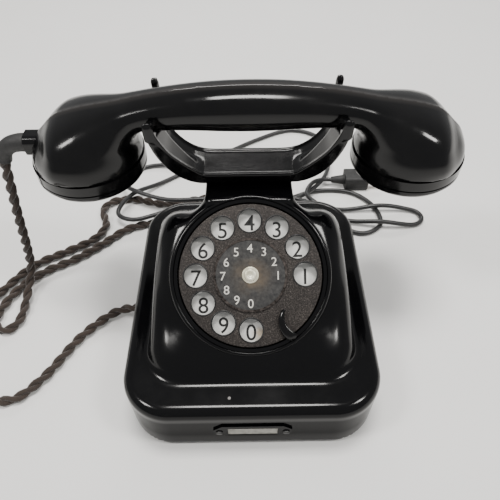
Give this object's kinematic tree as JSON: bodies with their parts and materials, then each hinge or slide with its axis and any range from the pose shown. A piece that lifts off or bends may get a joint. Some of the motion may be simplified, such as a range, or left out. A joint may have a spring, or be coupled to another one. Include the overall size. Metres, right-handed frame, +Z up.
{
  "type": "rotary telephone",
  "caption": "Desk telephone with a sprung finger wheel on a sloped steel body, a fork cradle on a hook switch, a two-capsule handset on a twisted textile cord, and a line cord with a plug.",
  "frame": {"origin": "on the table, under the middle of the body with its handset on", "axes": "+X to the right along the handset, +Y to the back, +Z up"},
  "size_m": [0.3296, 0.2974, 0.158],
  "materials": {
    "enamel": "gloss",
    "bakelite": "gloss",
    "dial_metal": "worn satin",
    "number_white": "gloss",
    "nickel": "satin",
    "steel": "satin",
    "brass": "satin",
    "rubber": "matt",
    "textile": "twisted braid",
    "sheath": "matt",
    "card": "paper",
    "magnet": "painted",
    "coil": "varnished winding"
  },
  "bodies": {
    "base": {"base_plate": "enamel", "rubber_feet": "rubber", "base_screws": "steel", "housing": "enamel", "label_frame": "enamel", "label_card": "card", "label_screws": "steel", "dial_cup": "enamel", "number_plate": "number_white", "finger_stop": "bakelite", "dial_frame": "brass", "dial_pillars": "steel", "return_spring": "steel", "pulse_contacts": "brass", "stem_guide": "steel", "cradle_spring": "steel", "hook_contacts": "brass", "switch_bracket": "steel", "ringer_frame": "steel", "ringer_magnet": "magnet", "ringer_coils": "coil", "gong_left": "steel", "gong_right": "steel", "gong_screws": "steel", "armature_pin": "steel", "capacitor": "steel", "induction_coil": "coil", "terminal_block": "bakelite", "terminal_screws": "brass", "side_gland": "rubber", "rear_gland": "rubber", "handset_cord_lower": "textile", "line_cord": "sheath", "line_plug": "bakelite", "plug_pins": "brass"},
    "finger_wheel": {"finger_wheel": "dial_metal", "card_disc": "dial_metal", "card_ring": "dial_metal", "centre_nut": "nickel", "dial_shaft": "steel", "main_gear": "brass"},
    "pinion": {"pinion_shaft": "steel", "pinion_gear": "brass", "pulse_cam": "brass", "governor": "brass"},
    "cradle": {"cradle": "bakelite", "cradle_stem": "steel", "cradle_plug": "bakelite"},
    "handset": {"handset_shell": "bakelite", "ear_cap": "bakelite", "mouth_cap": "bakelite", "receiver_capsule": "brass", "microphone_capsule": "brass", "capsule_springs": "brass", "handset_terminals": "brass", "handset_gland": "bakelite", "handset_boot": "rubber", "handset_cord_upper": "textile"},
    "clapper": {"armature": "steel", "clapper_rod": "brass"}
  },
  "joints": [
    {"name": "finger_wheel_turn", "type": "hinge", "parent": "base", "child": "finger_wheel", "pos_m": [0, -0.0154, 0.075], "axis": [0, 0.6018, -0.7986], "range_deg": [0, 310], "stiffness_Nm_per_rad": 0.01, "springref_deg": -28.65},
    {"name": "pinion_turn", "type": "hinge", "parent": "base", "child": "pinion", "pos_m": [-0.01897, -0.00665, 0.08159], "axis": [0, 0.6018, -0.7986], "range_deg": [-1560, 10]},
    {"name": "cradle_press", "type": "slide", "parent": "base", "child": "cradle", "axis": [0, 0, 1], "range_m": [0, 0.005], "stiffness_N_per_m": 100, "springref_m": 0.015, "deforming": ["cradle_spring"]},
    {"name": "handset_lift", "type": "slide", "parent": "cradle", "child": "handset", "axis": [0, 0, 1], "range_m": [0, 0.1]},
    {"name": "clapper_swing", "type": "hinge", "parent": "base", "child": "clapper", "pos_m": [0, -0.006, 0.0215], "axis": [0, 0, 1], "range_deg": [-3, 3], "stiffness_Nm_per_rad": 0.001}
  ],
  "couplings": [
    {"joint": "pinion_turn", "follows": "finger_wheel_turn", "ratio": -5}
  ]
}
